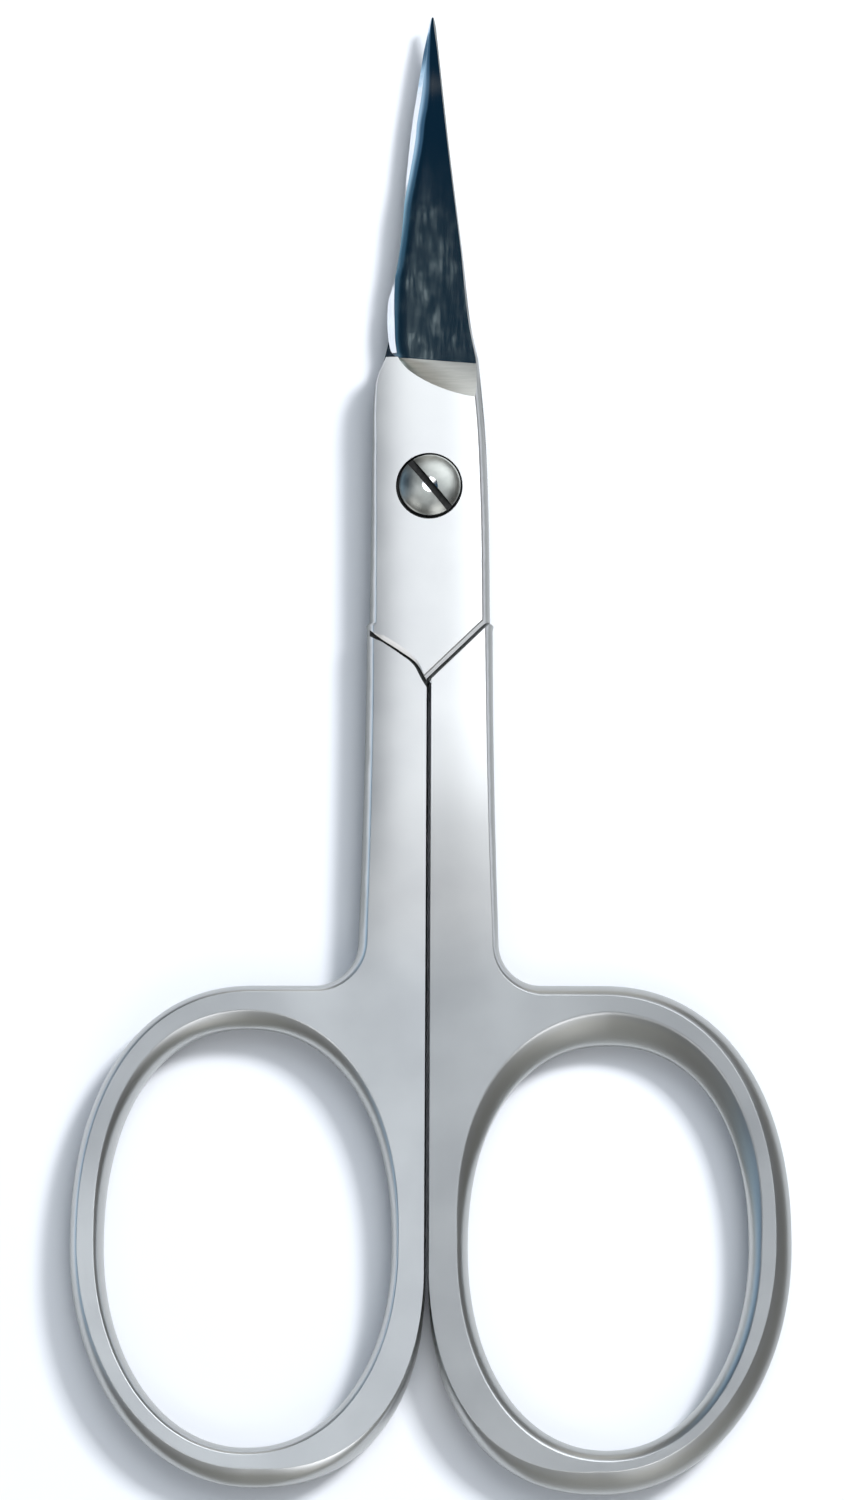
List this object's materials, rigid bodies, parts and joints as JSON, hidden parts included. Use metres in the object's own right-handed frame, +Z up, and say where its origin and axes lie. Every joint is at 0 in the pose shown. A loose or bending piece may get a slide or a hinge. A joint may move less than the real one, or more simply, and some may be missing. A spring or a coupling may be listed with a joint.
{
  "type": "nail scissors",
  "caption": "Fine-pointed nail scissors with oval finger rings: forged steel halves, lapped at the box and turning on a slotted screw.",
  "frame": {"origin": "on the pivot axis, at the flat back of the closed scissors", "axes": "+Y towards the tips, +Z up, out of the face that holds the screw head, +X to the right of the picture"},
  "size_m": [0.0446, 0.093, 0.0035],
  "materials": {
    "satin_steel": "satin forged stainless steel, with mirror-polished blade facets",
    "screw_steel": "turned and polished steel"
  },
  "bodies": {
    "back": {"back_half": "satin_steel", "pivot_screw": "screw_steel"},
    "front": {"front_half": "satin_steel"}
  },
  "joints": [
    {"name": "pivot", "type": "hinge", "parent": "back", "child": "front", "pos_m": [0, 0, 0], "axis": [0, 0, -1], "range_deg": [0, 135]}
  ]
}
